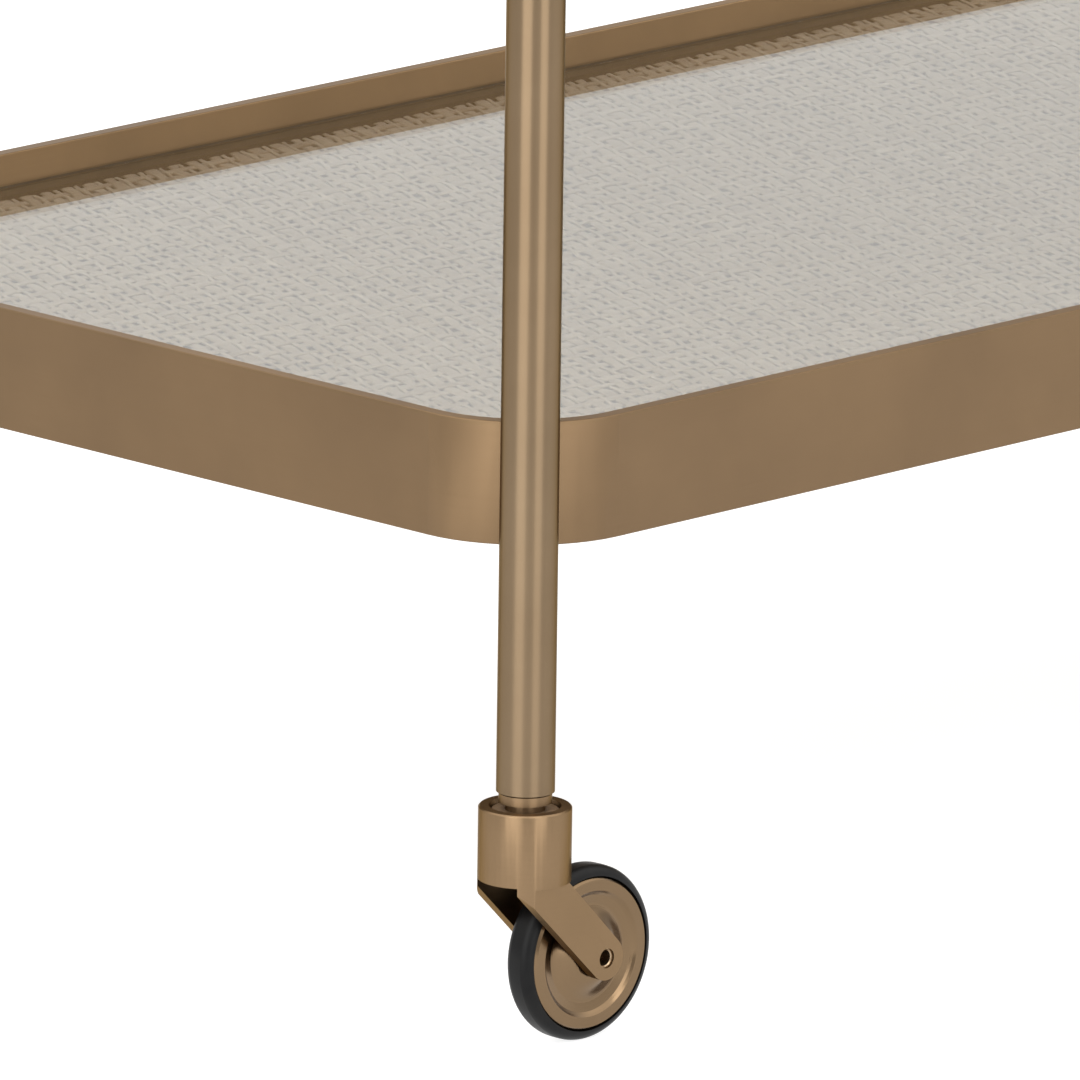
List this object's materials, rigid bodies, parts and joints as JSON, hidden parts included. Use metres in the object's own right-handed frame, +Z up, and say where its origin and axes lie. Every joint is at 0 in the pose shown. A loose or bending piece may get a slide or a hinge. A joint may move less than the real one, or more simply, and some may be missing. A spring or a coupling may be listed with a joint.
{
  "type": "bar cart on wheels",
  "caption": "Two-tier bar cart: round brass posts hold flat-bar trays with a woven panel under glass, on swivel casters with rubber-tyred wheels.",
  "frame": {"origin": "on the floor under the middle of the cart", "axes": "+X along the cart's length, +Y across its depth towards the rear posts, +Z up"},
  "size_m": [0.9182, 0.4942, 0.814],
  "materials": {
    "brass_post": "satin, brushed along the tube",
    "brass_rim": "satin, brushed along the bar",
    "brass_ledge": "darkened, unpolished",
    "brass_caster": "satin, turned and milled",
    "brass_wheel": "satin, turned",
    "steel": "zinc plated",
    "nylon": "moulded",
    "clear_vinyl": "clear, soft",
    "tyre_rubber": "smooth moulded rubber",
    "board": "stained fibreboard",
    "woven_reed": "natural woven reed",
    "clear_glass": "clear, polished"
  },
  "bodies": {
    "cart": {"lower_rim": "brass_rim", "lower_ledge": "brass_ledge", "lower_backing_board": "board", "lower_woven_panel": "woven_reed", "lower_glass": "clear_glass", "upper_rim": "brass_rim", "upper_ledge": "brass_ledge", "upper_backing_board": "board", "upper_woven_panel": "woven_reed", "upper_glass": "clear_glass", "post_inserts": "steel", "post_caps": "brass_post", "post_screws": "steel", "post_nuts": "steel", "panel_screws": "steel", "glass_bumpers": "clear_vinyl", "post_front_left": "brass_post", "stem_front_left": "brass_caster", "stem_clip_front_left": "steel", "post_front_right": "brass_post", "stem_front_right": "brass_caster", "stem_clip_front_right": "steel", "post_rear_left": "brass_post", "stem_rear_left": "brass_caster", "stem_clip_rear_left": "steel", "post_rear_right": "brass_post", "stem_rear_right": "brass_caster", "stem_clip_rear_right": "steel"},
    "caster_front_left": {"caster_housing_front_left": "brass_caster", "swivel_bearing_front_left": "nylon", "axle_front_left": "steel", "thrust_washers_front_left": "nylon"},
    "wheel_front_left": {"wheel_core_front_left": "brass_wheel", "wheel_bushing_front_left": "nylon", "tyre_front_left": "tyre_rubber"},
    "caster_front_right": {"caster_housing_front_right": "brass_caster", "swivel_bearing_front_right": "nylon", "axle_front_right": "steel", "thrust_washers_front_right": "nylon"},
    "wheel_front_right": {"wheel_core_front_right": "brass_wheel", "wheel_bushing_front_right": "nylon", "tyre_front_right": "tyre_rubber"},
    "caster_rear_left": {"caster_housing_rear_left": "brass_caster", "swivel_bearing_rear_left": "nylon", "axle_rear_left": "steel", "thrust_washers_rear_left": "nylon"},
    "wheel_rear_left": {"wheel_core_rear_left": "brass_wheel", "wheel_bushing_rear_left": "nylon", "tyre_rear_left": "tyre_rubber"},
    "caster_rear_right": {"caster_housing_rear_right": "brass_caster", "swivel_bearing_rear_right": "nylon", "axle_rear_right": "steel", "thrust_washers_rear_right": "nylon"},
    "wheel_rear_right": {"wheel_core_rear_right": "brass_wheel", "wheel_bushing_rear_right": "nylon", "tyre_rear_right": "tyre_rubber"}
  },
  "joints": [
    {"name": "swivel_front_left", "type": "hinge", "parent": "cart", "child": "caster_front_left", "pos_m": [-0.4416, -0.22961, 0.0947], "axis": [0, 0, 1], "continuous": true},
    {"name": "spin_front_left", "type": "hinge", "parent": "caster_front_left", "child": "wheel_front_left", "pos_m": [-0.41261, -0.23012, 0.0335], "axis": [0.0175, 0.9998, 0], "continuous": true},
    {"name": "swivel_front_right", "type": "hinge", "parent": "cart", "child": "caster_front_right", "pos_m": [0.4416, -0.22961, 0.0947], "axis": [0, 0, 1], "continuous": true},
    {"name": "spin_front_right", "type": "hinge", "parent": "caster_front_right", "child": "wheel_front_right", "pos_m": [0.41261, -0.23012, 0.0335], "axis": [0.0175, -0.9998, 0], "continuous": true},
    {"name": "swivel_rear_left", "type": "hinge", "parent": "cart", "child": "caster_rear_left", "pos_m": [-0.4416, 0.22961, 0.0947], "axis": [0, 0, 1], "continuous": true},
    {"name": "spin_rear_left", "type": "hinge", "parent": "caster_rear_left", "child": "wheel_rear_left", "pos_m": [-0.41261, 0.23012, 0.0335], "axis": [-0.0175, 0.9998, 0], "continuous": true},
    {"name": "swivel_rear_right", "type": "hinge", "parent": "cart", "child": "caster_rear_right", "pos_m": [0.4416, 0.22961, 0.0947], "axis": [0, 0, 1], "continuous": true},
    {"name": "spin_rear_right", "type": "hinge", "parent": "caster_rear_right", "child": "wheel_rear_right", "pos_m": [0.41261, 0.23012, 0.0335], "axis": [-0.0175, -0.9998, 0], "continuous": true}
  ]
}
